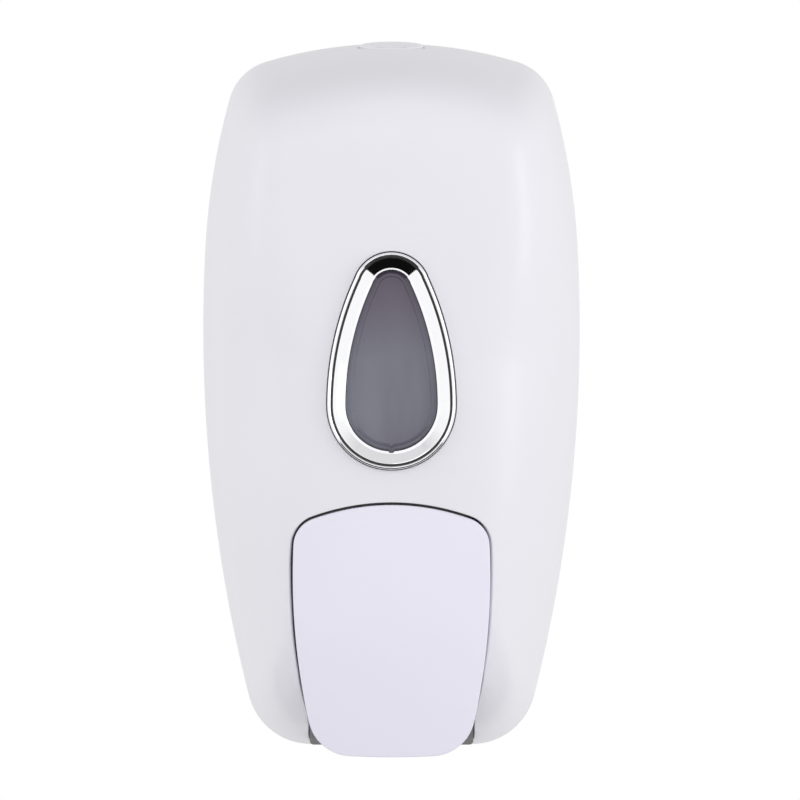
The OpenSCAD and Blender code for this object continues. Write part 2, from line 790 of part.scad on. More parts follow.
// Duckbill valve that opens downwards: a flange and two flat lips
module duckbill(top, r) {
  union() {
    rod_z(top - 1.2, top, pump_y, valve_flange_r);
    intersection() {
      rod_z(top - 7, top - 1, pump_y, r);
      along_x(-5, 5) polygon([[pump_y - r, top - 1], [pump_y - 0.4, top - 7],
                              [pump_y + 0.4, top - 7], [pump_y + r, top - 1]]);
    }
  }
}

module inlet_valve() {
  color("gray") duckbill(flange_top - 2.78, port_r - 0.2);
}

module outlet_valve() {
  color("gray") duckbill(outlet_seat_z - 0.02, 4.4);
}

module spout() {
  color("white") turned_z([
    [tube_r + run, -94], [8.6, -94], [8.6, -104], [7.6, -106.5], [5, -109], [3.6, -109], [3.6, -106],
    [5.6, -101.5], [5.6, outlet_end - 0.05], [tube_r + run, outlet_end - 0.05]]);
}

module gland_cap() {
  color("white") turned_y([
    [barrel_r + run, 57], [10.8, 57], [10.8, 62.7], [10, -gland_front], [stem_r + 0.2, -gland_front],
    [stem_r + 0.2, -barrel_front + 0.05], [barrel_r + run, -barrel_front + 0.05]]);
}

// Plunger: piston with a seal groove, stem, and a domed head that the lever's pad pushes
module plunger() {
  dome = [for (i = [0 : 10]) let (r = 8.5 * (1 - i / 10))
    [r, -head_front - head_dome_r + sqrt(head_dome_r * head_dome_r - r * r)]];
  color("white") turned_y(concat(
    [[0, 54.5], [6.1, 54.5], [6.1, 55.5], [4.8, 55.5], [4.8, 58.5], [6.1, 58.5], [6.1, 59.8], [stem_r, 59.8],
     [stem_r, -head_back], [8.5, -head_back]],
    dome));
}

module plunger_seal() {
  r = pump_bore_r - run;
  color("dimgray") turned_y([[4.82, 55.55], [r - 0.5, 55.55], [r, 56.2], [r - 0.4, 57],
                             [r, 57.8], [r - 0.5, 58.45], [4.82, 58.45]]);
}

// Return spring round the stem, between the gland and the head
spring_r = 5.7;
spring_sides = 8;
spring_steps = 14;    // rings in one turn
module return_spring() {
  y0 = gland_front - spring_wire / 2 - 0.02;
  y1 = head_back + spring_wire / 2 + 0.02;
  rings = spring_turns * spring_steps;
  slope = (y1 - y0) / (2 * PI * spring_r * spring_turns);
  points = [for (j = [0 : rings]) let (a = 360 * j / spring_steps, y = y0 + (y1 - y0) * j / rings)
    each [for (k = [0 : spring_sides - 1])
      let (b = 360 * k / spring_sides, u = spring_wire / 2 * cos(b), v = spring_wire / 2 * sin(b),
           out = spring_r + u)
      [out * cos(a) + v * slope * sin(a), y + v, plunger_z + out * sin(a) - v * slope * cos(a)]]];
  n = spring_sides;
  faces = concat(
    [for (j = [0 : rings - 1]) each band(n, j, j + 1, false)],
    [[for (k = [0 : n - 1]) k]],
    [[for (k = [n - 1 : -1 : 0]) rings * n + k]]);
  color("silver") polyhedron(points = points, faces = faces, convexity = 8);
}

front_cover();
window_bezel();
window_lens();
push_lever();
lever_pin();
lock_barrel();
lock_cam();
lock_screw();
back_plate();
lock_keeper();
hinge_pins();
base_tray();
tray_screws();
soap_tank();
tank_lid();
lid_gasket();
lid_pin();
collar_nut();
neck_gasket();
pump_body();
inlet_valve();
outlet_valve();
spout();
gland_cap();
plunger();
plunger_seal();
return_spring();
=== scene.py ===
import math

import bmesh
import bpy
from mathutils import Matrix, Vector
from mathutils.geometry import delaunay_2d_cdt


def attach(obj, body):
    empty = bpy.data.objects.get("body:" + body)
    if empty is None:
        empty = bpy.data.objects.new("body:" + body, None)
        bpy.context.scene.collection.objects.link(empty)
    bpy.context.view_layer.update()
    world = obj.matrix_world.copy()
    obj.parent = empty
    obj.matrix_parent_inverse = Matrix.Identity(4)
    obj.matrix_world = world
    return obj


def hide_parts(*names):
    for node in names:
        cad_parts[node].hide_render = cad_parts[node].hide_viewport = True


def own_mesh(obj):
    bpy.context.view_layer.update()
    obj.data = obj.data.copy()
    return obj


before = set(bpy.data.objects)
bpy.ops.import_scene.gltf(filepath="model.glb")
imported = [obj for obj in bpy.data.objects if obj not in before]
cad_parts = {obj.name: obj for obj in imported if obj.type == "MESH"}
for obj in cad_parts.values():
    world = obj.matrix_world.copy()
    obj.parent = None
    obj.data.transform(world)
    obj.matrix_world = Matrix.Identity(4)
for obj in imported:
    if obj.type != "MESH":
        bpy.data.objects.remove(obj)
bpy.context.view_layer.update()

# The object's sizes are in millimetres, in the CAD's frame, and become metres as a mesh is made.
# The wall is the plane y = 0, and the front faces -y.
MM = 0.001

# ------------------------------------------------------------------ outlines
# An outline's right half is a chain of circles (x, z, r), bottom to top, each tangent to the next.


def touching(a, b, r):
    """The circle of radius r that touches the larger circles a and b from inside."""
    d1, d2 = a[2] - r, b[2] - r
    sx, sz = b[0] - a[0], b[1] - a[1]
    d = math.hypot(sx, sz)
    along = (d1 * d1 - d2 * d2 + d * d) / (2 * d)
    side = math.sqrt(d1 * d1 - along * along)
    return (a[0] + (sx * along - sz * side) / d, a[1] + (sz * along + sx * side) / d, r)


def touch_angle(a, b):
    """The direction from the circles' middles to the point where they touch."""
    s = 1 if a[2] > b[2] else -1
    return math.atan2(s * (b[1] - a[1]), s * (b[0] - a[0]))


def half_outline(chain, step, inset=0.0):
    """Right half, bottom to top, with a point about every step mm. Returns [(x, z, nx, nz)], n outwards."""
    out = []
    last = len(chain) - 1
    for k, c in enumerate(chain):
        a0 = -math.pi / 2 if k == 0 else touch_angle(chain[k - 1], c)
        a1 = math.pi / 2 if k == last else touch_angle(c, chain[k + 1])
        n = max(3, int(math.ceil(c[2] * (a1 - a0) / step)), int(math.ceil((a1 - a0) / 0.12)))
        for i in range(n + (1 if k == last else 0)):
            a = a0 + (a1 - a0) * i / n
            nx, nz = math.cos(a), math.sin(a)
            out.append((c[0] + (c[2] - inset) * nx, c[1] + (c[2] - inset) * nz, nx, nz))
    return out


def full_outline(chain, step, inset=0.0):
    """The whole closed outline, of which half_outline gives the right half."""
    right = half_outline(chain, step, inset)
    return right + [(-x, z, -nx, nz) for x, z, nx, nz in right[-2:0:-1]]


COVER_W, COVER_H, COVER_D, WALL = 119.6, 223.0, 100.0, 2.4
HALF = COVER_H / 2
SIDE_R, SHOULDER_R, TOP_R, BOTTOM_R = 475.0, 220.0, 140.0, 600.0
SIDE = (COVER_W / 2 - SIDE_R, 20.0, SIDE_R)
SHOULDER_A = math.asin(28 / SIDE_R)  # the shoulder's curve starts 28 mm above the side's middle
SHOULDER = (SIDE[0] + (SIDE_R - SHOULDER_R) * math.cos(SHOULDER_A),
            SIDE[1] + (SIDE_R - SHOULDER_R) * math.sin(SHOULDER_A), SHOULDER_R)
TOP_ARC = (0.0, HALF - TOP_R, TOP_R)
BOTTOM_ARC = (0.0, BOTTOM_R - HALF, BOTTOM_R)
TOP_CORNER_R, BOTTOM_CORNER_R = 16.5, 20.5
COVER = [BOTTOM_ARC, touching(BOTTOM_ARC, SIDE, BOTTOM_CORNER_R), SIDE,
         SHOULDER, touching(SHOULDER, TOP_ARC, TOP_CORNER_R), TOP_ARC]

WINDOW_Z, WINDOW_SPAN, WINDOW_WIDE_R, WINDOW_NARROW_R, WINDOW_SIDE_R = 3.2, 34.0, 19.1, 11.5, 90.7
WINDOW = [(0.0, WINDOW_Z, WINDOW_WIDE_R), (WINDOW_WIDE_R - WINDOW_SIDE_R, WINDOW_Z, WINDOW_SIDE_R),
          (0.0, WINDOW_Z + WINDOW_SPAN, WINDOW_NARROW_R)]

LEVER_HALF_W, LEVER_TOP, LEVER_BOTTOM = 29.6, -26.5, -103.0
LEVER_SIDE_R, LEVER_TOP_R, LEVER_LOW_R = 209.0, 67.2, 300.0
LEVER_SIDE = (LEVER_HALF_W - LEVER_SIDE_R, -48.0, LEVER_SIDE_R)
LEVER_HIGH = (0.0, LEVER_TOP - LEVER_TOP_R, LEVER_TOP_R)
LEVER_LOW = (0.0, LEVER_BOTTOM + LEVER_LOW_R, LEVER_LOW_R)
LEVER = [LEVER_LOW, touching(LEVER_LOW, LEVER_SIDE, 12.9), LEVER_SIDE, touching(LEVER_SIDE, LEVER_HIGH, 9.0),
         LEVER_HIGH]
LEVER_GAP = 0.7  # between the lever and the cover

# ------------------------------------------------------------------ the cover's dome
# The outline is drawn in towards the dome's middle as r ** p + t ** q = 1, where r is the share of the
# outline's radius and t is the share of the depth. A larger p gives a flatter front with a squarer shoulder.

RIM, DOME_Z = 0.8, 14.0
P_TOP, P_SIDE, P_BOTTOM = 12.0, 4.4, 5.0
Q_SIDE, Q_TOP = 2.0, 1.5
DIRECTIONS = 2880
AXES = [Vector((1, 0, 0)), Vector((0, 1, 0)), Vector((0, 0, 1))]


def cover_radius(ang):
    """Distance from the dome's middle to the outline in the direction ang, and the powers p and q there."""
    dx, dz = math.cos(ang), math.sin(ang)
    p = P_SIDE + ((P_TOP if dz > 0 else P_BOTTOM) - P_SIDE) * dz * dz
    q = Q_SIDE + (Q_TOP - Q_SIDE) * dz * dz if dz > 0 else Q_SIDE
    dx = abs(dx)
    best = None
    for k, c in enumerate(COVER):
        ox, oz = -c[0], DOME_Z - c[1]
        b = ox * dx + oz * dz
        disc = b * b - (ox * ox + oz * oz - c[2] * c[2])
        if disc < 0:
            continue
        t = -b + math.sqrt(disc)
        x, z = t * dx - c[0], DOME_Z + t * dz - c[1]
        a = math.atan2(z, x)
        lo = -math.pi if k == 0 else touch_angle(COVER[k - 1], c)
        hi = math.pi if k == len(COVER) - 1 else touch_angle(c, COVER[k + 1])
        miss = max(0.0, lo - a, a - hi)
        if best is None or miss < best[0]:
            best = (miss, t)
    return best[1], p, q


RADII = [cover_radius(2 * math.pi * i / DIRECTIONS) for i in range(DIRECTIONS)]


def radius_at(ang):
    f = (ang / (2 * math.pi)) % 1.0 * DIRECTIONS
    i = int(f)
    f -= i
    a, b = RADII[i % DIRECTIONS], RADII[(i + 1) % DIRECTIONS]
    return [u + (v - u) * f for u, v in zip(a, b)]


def dome_point(ang, t):
    """The dome's surface at direction ang, at the share t of its full depth."""
    c, p, q = radius_at(ang)
    r = max(0.0, 1 - t ** q) ** (1 / p)
    return Vector((c * r * math.cos(ang), -RIM - (COVER_D - RIM) * t, DOME_Z + c * r * math.sin(ang)))


def dome_y(x, z):
    """The dome's front, at x and z."""
    dx, dz = x, z - DOME_Z
    d = math.hypot(dx, dz)
    if d < 1e-9:
        return -COVER_D
    c, p, q = radius_at(math.atan2(dz, dx))
    r = min(1.0, d / c)
    return -RIM - (COVER_D - RIM) * max(0.0, 1 - r ** p) ** (1 / q)


def on_dome(x, z):
    return Vector((x, dome_y(x, z), z))


def dome_value(v):
    """Zero on the dome, smooth across it, growing outwards."""
    dx, dz = v.x, v.z - DOME_Z
    d = math.hypot(dx, dz)
    t = (-v.y - RIM) / (COVER_D - RIM)
    if d < 1e-9:
        return t * t - 1
    c, p, q = radius_at(math.atan2(dz, dx))
    return (d / c) ** p + math.copysign(abs(t) ** q, t) - 1


def dome_normal(v):
    e = 0.35
    return Vector([dome_value(v + d * e) - dome_value(v - d * e) for d in AXES]).normalized()


def dome_crossing(at, lo, hi, rounds):
    """The value between lo and hi where the point at(value) crosses the dome, going outwards."""
    for _ in range(rounds):
        mid = (lo + hi) / 2
        if dome_value(at(mid)) < 0:
            lo = mid
        else:
            hi = mid
    return lo, hi


def dome_underside(x, y):
    """The dome's lower surface at the plan point x, y."""
    lo, hi = dome_crossing(lambda z: Vector((x, y, z)), DOME_Z, -HALF - 2, 50)
    return Vector((x, y, (lo + hi) / 2))


def flat_of(v):
    """The dome unrolled from its middle, so that it can be triangulated as a plane figure."""
    dx, dz = v.x, v.z - DOME_Z
    d = math.hypot(dx, dz)
    if d < 1e-9:
        return Vector((0, 0))
    s = d + (COVER_D + v.y)
    return Vector((dx / d * s, dz / d * s))


# ------------------------------------------------------------------ mesh helpers


class Build:
    """Gathers points, their normals and faces for one mesh."""

    def __init__(self):
        self.v, self.n, self.f = [], [], []

    def add(self, p, n):
        self.v.append(p.copy())
        self.n.append(n.copy())
        return len(self.v) - 1

    def face(self, ids):
        """A face, turned so that it looks along its points' normals."""
        a, b, c = (self.v[i] for i in ids[:3])
        want = sum((self.n[i] for i in ids), Vector((0, 0, 0)))
        self.f.append(ids if (b - a).cross(c - a).dot(want) >= 0 else ids[::-1])

    def strips(self, rows, norms, closed):
        """Bands between neighbouring rows of points, each band with points of its own."""
        for ra, rb, na, nb in zip(rows, rows[1:], norms, norms[1:]):
            base, w = len(self.v), len(ra)
            for p, n in list(zip(ra, na)) + list(zip(rb, nb)):
                self.add(p, n)
            for i in range(w if closed else w - 1):
                k = (i + 1) % w
                self.face([base + i, base + k, base + w + k, base + w + i])


def dress(ob, body, mat, replaces=()):
    """Put a piece in the scene, with its material, its body and the CAD nodes that it stands for."""
    bpy.context.scene.collection.objects.link(ob)
    ob.data.materials.append(mat)
    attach(ob, body)
    if replaces:
        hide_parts(*replaces)


def new_object(name, verts, faces, body, mat, replaces=()):
    me = bpy.data.meshes.new(name)
    me.from_pydata([Vector(v) * MM for v in verts], [], faces)
    me.validate()
    me.update()
    ob = bpy.data.objects.new(name, me)
    dress(ob, body, mat, replaces)
    return ob


def shade(ob, angle):
    """Smooth shading, sharp where faces meet at more than angle degrees."""
    me = ob.data
    me.polygons.foreach_set("use_smooth", [True] * len(me.polygons))
    me.set_sharp_from_angle(angle=math.radians(angle))


def set_normals(ob, normals):
    """Smooth shading with one given normal a vertex."""
    me = ob.data
    me.polygons.foreach_set("use_smooth", [True] * len(me.polygons))
    me.update()
    me.normals_split_custom_set([tuple(normals[loop.vertex_index]) for loop in me.loops])


def outward(ob):
    """Turn all faces outwards."""
    bm = bmesh.new()
    bm.from_mesh(ob.data)
    bmesh.ops.recalc_face_normals(bm, faces=bm.faces)
    bm.to_mesh(ob.data)
    bm.free()


def soften(ob, width, segments):
    """Rounded edges, width mm wide, made when the piece is shown."""
    mod = ob.modifiers.new("soft", "BEVEL")
    mod.width = width * MM
    mod.segments = segments
    mod.limit_method = "ANGLE"
    mod.angle_limit = math.radians(40)
    return mod


def inside(poly, x, z):
    """Whether the point x, z lies in the polygon poly."""
    hit = False
    for (x0, z0), (x1, z1) in zip(poly, poly[1:] + poly[:1]):
        if (z0 > z) != (z1 > z) and x < (x1 - x0) * (z - z0) / (z1 - z0) + x0:
            hit = not hit
    return hit


def resample(points, step):
    """Points of an open 3-D line, spaced about step apart."""
    out = [points[0]]
    total = sum((b - a).length for a, b in zip(points, points[1:]))
    n = max(1, int(round(total / step)))
    want, gone, k = total / n, 0.0, 1
    for a, b in zip(points, points[1:]):
        seg = (b - a).length
        while k < n and gone + seg >= want * k - 1e-9 and seg > 0:
            out.append(a.lerp(b, (want * k - gone) / seg))
            k += 1
        gone += seg
    out.append(points[-1])
    return out


def within(b, n):
    """The part of the direction b that lies in the surface with normal n."""
    return (b - n * b.dot(n)).normalized()


def arc(cx, cy, r, a0, a1, n=16):
    angles = [math.radians(a0 + (a1 - a0) * i / n) for i in range(n + 1)]
    return [(cx + r * math.cos(a), cy + r * math.sin(a)) for a in angles]


def ramped(v, lo, hi):
    """Nought at lo, one at hi, and held beyond them."""
    return max(0.0, min(1.0, (v - lo) / (hi - lo)))


# ------------------------------------------------------------------ materials


def material(name):
    m = bpy.data.materials.new(name)
    m.use_nodes = True
    return m, m.node_tree, m.node_tree.nodes["Principled BSDF"]


def object_coordinates(nt, scale=None):
    co = nt.nodes.new("ShaderNodeTexCoord")
    if scale is None:
        return co.outputs["Object"]
    mp = nt.nodes.new("ShaderNodeMapping")
    mp.inputs["Scale"].default_value = scale
    nt.links.new(co.outputs["Object"], mp.inputs["Vector"])
    return mp.outputs["Vector"]


def noise(nt, where, scale, detail):
    no = nt.nodes.new("ShaderNodeTexNoise")
    no.inputs["Scale"].default_value = scale
    no.inputs["Detail"].default_value = detail
    nt.links.new(where, no.inputs["Vector"])
    return no.outputs["Fac"]


def bump(nt, bsdf, height, strength, distance):
    bu = nt.nodes.new("ShaderNodeBump")
    bu.inputs["Strength"].default_value = strength
    bu.inputs["Distance"].default_value = distance
    nt.links.new(height, bu.inputs["Height"])
    nt.links.new(bu.outputs["Normal"], bsdf.inputs["Normal"])


def ramp(nt, source, stops, blend="LINEAR"):
    """Colours along source. A stop's value is a colour or, for a grey, one number."""
    r = nt.nodes.new("ShaderNodeValToRGB")
    r.color_ramp.interpolation = blend
    while len(r.color_ramp.elements) < len(stops):
        r.color_ramp.elements.new(0.5)
    for e, (position, c) in zip(r.color_ramp.elements, stops):
        e.position = position
        e.color = (*c, 1) if isinstance(c, tuple) else (c, c, c, 1)
    nt.links.new(source, r.inputs["Fac"])
    return r.outputs["Color"]


def between(nt, source, low, high, blend="LINEAR"):
    """A ramp from low to high over the middle part of a noise, where nearly all its values lie."""
    return ramp(nt, source, [(0.3, low), (0.7, high)], blend)


def plastic(name, low, high, rough, spec=0.5, relief=0.03, grain=900.0, cloud=14.0, sub=0.0,
            transmission=0.0):
    """Moulded plastic: faint flow clouds in colour and gloss, and a fine grain."""
    m, nt, b = material(name)
    co = object_coordinates(nt)
    bump(nt, b, noise(nt, co, grain, 3.0), relief, 0.0002)
    clouds = noise(nt, co, cloud, 2.0)
    nt.links.new(between(nt, clouds, low, high, "EASE"), b.inputs["Base Color"])
    nt.links.new(between(nt, clouds, *rough, "EASE"), b.inputs["Roughness"])
    b.inputs["IOR"].default_value = 1.5
    b.inputs["Specular IOR Level"].default_value = spec
    b.inputs["Subsurface Weight"].default_value = sub
    b.inputs["Subsurface Radius"].default_value = (0.004, 0.004, 0.004)
    b.inputs["Subsurface Scale"].default_value = 1.0
    b.inputs["Transmission Weight"].default_value = transmission
    return m


def metal(name, low, high, rough, scale=(1, 1, 1), grain=300.0, relief=0.05):
    """Plated or drawn metal: a fine grain in colour, gloss and relief, which scale stretches."""
    m, nt, b = material(name)
    fine = noise(nt, object_coordinates(nt, scale), grain, 4.0)
    nt.links.new(between(nt, fine, low, high), b.inputs["Base Color"])
    nt.links.new(between(nt, fine, *rough), b.inputs["Roughness"])
    bump(nt, b, fine, relief, 0.00005)
    b.inputs["Metallic"].default_value = 1.0
    return m


def smoked(name):
    """Smoked clear plastic: darker towards the top, with faint upright flow streaks."""
    m, nt, b = material(name)
    streaks = noise(nt, object_coordinates(nt, (1.0, 1.0, 0.22)), 85, 2.5)
    sep = nt.nodes.new("ShaderNodeSeparateXYZ")
    nt.links.new(object_coordinates(nt), sep.inputs["Vector"])
    height = nt.nodes.new("ShaderNodeMapRange")
    height.inputs["From Min"].default_value = -0.012
    height.inputs["From Max"].default_value = 0.046
    nt.links.new(sep.outputs["Z"], height.inputs["Value"])
    mix = nt.nodes.new("ShaderNodeMath")
    mix.operation = "MULTIPLY_ADD"
    mix.inputs[1].default_value = 0.22
    nt.links.new(streaks, mix.inputs[0])
    nt.links.new(height.outputs["Result"], mix.inputs[2])
    tint = ramp(nt, mix.outputs["Value"], [
        (0.05, (0.135, 0.125, 0.165)), (0.35, (0.158, 0.163, 0.205)), (0.62, (0.165, 0.168, 0.212)),
        (0.85, (0.125, 0.11, 0.155)), (1.0, (0.10, 0.082, 0.12))])
    streak = ramp(nt, streaks, [(0.32, (0.86, 0.83, 0.85)), (0.68, (1.08, 1.1, 1.08))])
    both = nt.nodes.new("ShaderNodeMix")
    both.data_type = "RGBA"
    both.blend_type = "MULTIPLY"
    both.inputs["Factor"].default_value = 1.0
    nt.links.new(tint, both.inputs["A"])
    nt.links.new(streak, both.inputs["B"])
    nt.links.new(both.outputs["Result"], b.inputs["Base Color"])
    nt.links.new(between(nt, streaks, 0.05, 0.09), b.inputs["Roughness"])
    b.inputs["Coat Weight"].default_value = 0.3
    b.inputs["Coat Roughness"].default_value = 0.03
    return m


WHITE = plastic("cover_white", (0.83, 0.818, 0.868), (0.845, 0.833, 0.885), (0.285, 0.305),
                spec=0.35, relief=0.012, grain=700)
LEVER_WHITE = plastic("lever_white", (0.83, 0.817, 0.92), (0.845, 0.832, 0.935), (0.285, 0.305),
                      spec=0.35, relief=0.012, grain=700)
MATTE = plastic("matte_white", (0.74, 0.75, 0.77), (0.77, 0.775, 0.79), (0.4, 0.5), relief=0.08, grain=1300)
# the lock's white, made lighter than the cover's white as a painted highlight on the lock's front rim
LOCK_WHITE_AND_SHEEN = plastic("lock_white_and_sheen", (0.88, 0.87, 0.92), (0.9, 0.89, 0.94), (0.3, 0.38),
                     relief=0.05, grain=1200)
# the base tray's own grey, also used as painted shade on the ring round the lock
GREY_AND_SHADE = plastic("tray_grey_and_shade", (0.2, 0.198, 0.208), (0.23, 0.228, 0.238), (0.5, 0.62),
               relief=0.25, grain=2200, cloud=40)
CHROME = metal("bezel_chrome", (0.94, 0.94, 0.96), (0.96, 0.96, 0.98), (0.035, 0.06), relief=0.01, grain=500)
STEEL = metal("drawn_steel", (0.52, 0.52, 0.54), (0.62, 0.62, 0.64), (0.22, 0.34),
              scale=(0.1, 1, 1), grain=2500)
# the gaskets' own black rubber, also used as painted shade: the strip in the lever's gap, the bezel's groove
# line and the bezel's seat
RUBBER_AND_SHADE = plastic("black_rubber", 0.018, 0.028, (0.6, 0.75), relief=0.2, grain=1800, cloud=60)
SILICONE = plastic("grey_silicone", (0.30, 0.30, 0.32), (0.34, 0.34, 0.36), (0.45, 0.55),
                   relief=0.06, grain=900, cloud=60, sub=0.15)
FROST = plastic("frosted_tank", (0.80, 0.82, 0.85), (0.84, 0.86, 0.89), (0.35, 0.45),
                relief=0.1, grain=600, transmission=0.55)
SMOKE = smoked("smoked_lens")

# ------------------------------------------------------------------ the cover's three openings


def edge_strip(line, toward, normals, fillet, steps=5):
    """Rounded edge along line, which lies on the surface. toward points into the hole, and normals out of the
    surface. Returns rows of points and normals, from the surface's new border to the wall's inner end."""
    rows, norms = [], []
    for s in range(steps + 1):
        a = math.pi / 2 * s / steps
        rows.append([p + b * (fillet * (math.sin(a) - 1)) - n * (fillet * (1 - math.cos(a)))
                     for p, b, n in zip(line, toward, normals)])
        norms.append([(n * math.cos(a) + b * math.sin(a)).normalized() for b, n in zip(toward, normals)])
    rows.append([p - n * (WALL - 0.3) for p, n in zip(line, normals)])
    norms.append([b.copy() for b in toward])
    return rows, norms


# window: its hole is 0.3 mm wider than the bezel
SEAT_GAP = 0.3
seat_loop = full_outline(WINDOW, 1.1, -SEAT_GAP)
window_line = [on_dome(x, z) for x, z, nx, nz in seat_loop]
window_n = [dome_normal(p) for p in window_line]
window_b = [within(Vector((-nx, 0, -nz)), n) for (x, z, nx, nz), n in zip(seat_loop, window_n)]

# lever cut-out: from the rear edge at the bottom right, round the lever, to the bottom left
CUT_X, CUT_Z, BACK_Y = 25.5, -92.0, -10.0
LEFT_EXTRA = 0.35
corner_y = dome_y(CUT_X, -100.0)
n = int(abs(corner_y - BACK_Y) / 1.6)
cut = [dome_underside(CUT_X, BACK_Y + (corner_y - BACK_Y) * i / n) for i in range(n + 1)]
cut += [on_dome(CUT_X, z) for z in (-99.2, -98.2, -97.0, -95.8, -94.6, -93.4)]
cut += [on_dome(x, z) for x, z, nx, nz in half_outline(LEVER, 1.3, -LEVER_GAP) if z > CUT_Z]
cut = resample(cut, 1.4)


def left_of(p):
    """The mirrored point; the gap is a little wider along the lever's left side."""
    wide = min(ramped(-p.z, 34, 44), ramped(p.z, -98, -90))
    return on_dome(-p.x - LEFT_EXTRA * wide, p.z) if wide > 0 else Vector((-p.x, p.y, p.z))


cut += [left_of(p) for p in cut[-2::-1]]
cut_n = [dome_normal(p) for p in cut]
cut_b = []
for i, n in enumerate(cut_n):
    run = cut[min(len(cut) - 1, i + 1)] - cut[max(0, i - 1)]
    cut_b.append(n.cross(run).normalized())
if cut_b[0].x > 0:
    cut_b = [-b for b in cut_b]

# lock hole: a circle about the lock's tilted axis
LOCK_R, LOCK_TILT, LOCK_STEPS = 10.6, 7, 72
LOCK = Matrix.Translation((0, -27, 109)) @ Matrix.Rotation(math.radians(LOCK_TILT), 4, "X")
lock_line, lock_b = [], []
for i in range(LOCK_STEPS):
    a = 2 * math.pi * i / LOCK_STEPS
    x, y = LOCK_R * math.cos(a), LOCK_R * math.sin(a)
    height, _ = dome_crossing(lambda h: LOCK @ Vector((x, y, h)), -2.0, 6.0, 40)
    p = LOCK @ Vector((x, y, height))
    lock_line.append(p)
    lock_b.append(within(LOCK.to_3x3() @ Vector((-math.cos(a), -math.sin(a), 0)), dome_normal(p)))
lock_n = [dome_normal(p) for p in lock_line]

# ------------------------------------------------------------------ the cover's skin
NOTCH_X, NOTCH_Y = 33.2, -2.6


def rim_line():
    """The cover's rear edge, from the right side of the cut-out all the way round to the left side of it."""
    step = 0.006
    half = [dome_underside(x, BACK_Y) for x in (CUT_X, 27.5, 29.5, 31.5, NOTCH_X)]
    half += [dome_underside(NOTCH_X, y) for y in (-8, -6, -4, NOTCH_Y)]
    t_low = (-NOTCH_Y - RIM) / (COVER_D - RIM)
    a = math.atan2(half[-1].z - DOME_Z, NOTCH_X) + step
    while dome_point(a, t_low).z < -103.5:
        half.append(dome_point(a, t_low))
        a += step
    half.append(dome_point(a, t_low))
    count = 130
    half += [dome_point(a + (math.pi / 2 - a) * i / count, 0.0) for i in range(count + 1)]
    return half + [Vector((-p.x, p.y, p.z)) for p in half[-2::-1]]


def skin_rings(count=78):
    """Points all over the dome, in rings about its middle."""
    yield Vector((0, -COVER_D, DOME_Z))
    for j in range(1, count):
        u = j / count
        t = math.cos(math.pi / 2 * (u ** 0.8))
        n = max(8, int(300 * min(1, 0.1 + u * 1.1)))
        for i in range(n):
            yield dome_point(2 * math.pi * (i + 0.5 * (j % 2)) / n, t)


CELL = 2.0


def cell_of(q):
    return int(q.x // CELL), int(q.y // CELL)


def skin_mesh(loops):
    """The dome between its outer border, loops[0], and its holes: points and triangles."""
    flats = [[flat_of(p) for p in loop] for loop in loops]
    polys = [[(q.x, q.y) for q in flat] for flat in flats]
    verts3 = [p for loop in loops for p in loop]
    verts2 = [q for flat in flats for q in flat]
    edges, start, cells = [], 0, {}
    for flat in flats:
        edges += [(start + i, start + (i + 1) % len(flat)) for i in range(len(flat))]
        start += len(flat)
    for q in verts2:
        cells.setdefault(cell_of(q), []).append(q)

    def on_skin(q):
        return inside(polys[0], q.x, q.y) and not any(inside(hole, q.x, q.y) for hole in polys[1:])

    def near_edge(q, gap):
        i, j = cell_of(q)
        around = [(a, b) for a in (i - 1, i, i + 1) for b in (j - 1, j, j + 1)]
        return any((p - q).length < gap for cell in around for p in cells.get(cell, ()))

    for p in skin_rings():
        q = flat_of(p)
        if not near_edge(q, 0.9) and on_skin(q):
            verts3.append(p)
            verts2.append(q)
    out_v, _, out_f, origin, _, _ = delaunay_2d_cdt(verts2, edges, [], 0, 1e-5)
    middles = [sum((out_v[i] for i in f), Vector((0, 0))) / len(f) for f in out_f]
    return [verts3[o[0]] for o in origin], [list(f) for f, c in zip(out_f, middles) if on_skin(c)]


def inner(p, n):
    """The point under p on the inside of the cover's wall."""
    q = p - n * WALL
    q.y = min(q.y, -RIM)
    return q


window_rows, window_en = edge_strip(window_line, window_b, window_n, 0.25)
cut_rows, cut_en = edge_strip(cut, cut_b, cut_n, 0.35)
lock_rows, lock_en = edge_strip(lock_line, lock_b, lock_n, 0.35)
rim = rim_line()
rim_n = [dome_normal(p) for p in rim]
skin, triangles = skin_mesh([rim[1:-1] + cut_rows[0][::-1], window_rows[0], lock_rows[0]])
skin_n = [dome_normal(p) for p in skin]

cover = Build()
for p, n in zip(skin, skin_n):
    cover.add(p, n)
for f in triangles:
    cover.face(f)
for p, n in zip(skin, skin_n):
    cover.add(inner(p, n), -n)
cover.f += [[i + len(skin) for i in f][::-1] for f in cover.f]
cover.strips(window_rows, window_en, True)
cover.strips(cut_rows, cut_en, False)
cover.strips(lock_rows, lock_en, True)
# rear edge: a flat lip between the outer and the inner skin
rim_in = [inner(p, n) for p, n in zip(rim, rim_n)]
cover.strips([rim, rim_in], [[Vector((0, 1, 0))] * len(rim)] * 2, False)
cover_ob = new_object("cover_skin", cover.v, cover.f, "cover", WHITE, ("front_cover",))
set_normals(cover_ob, cover.n)
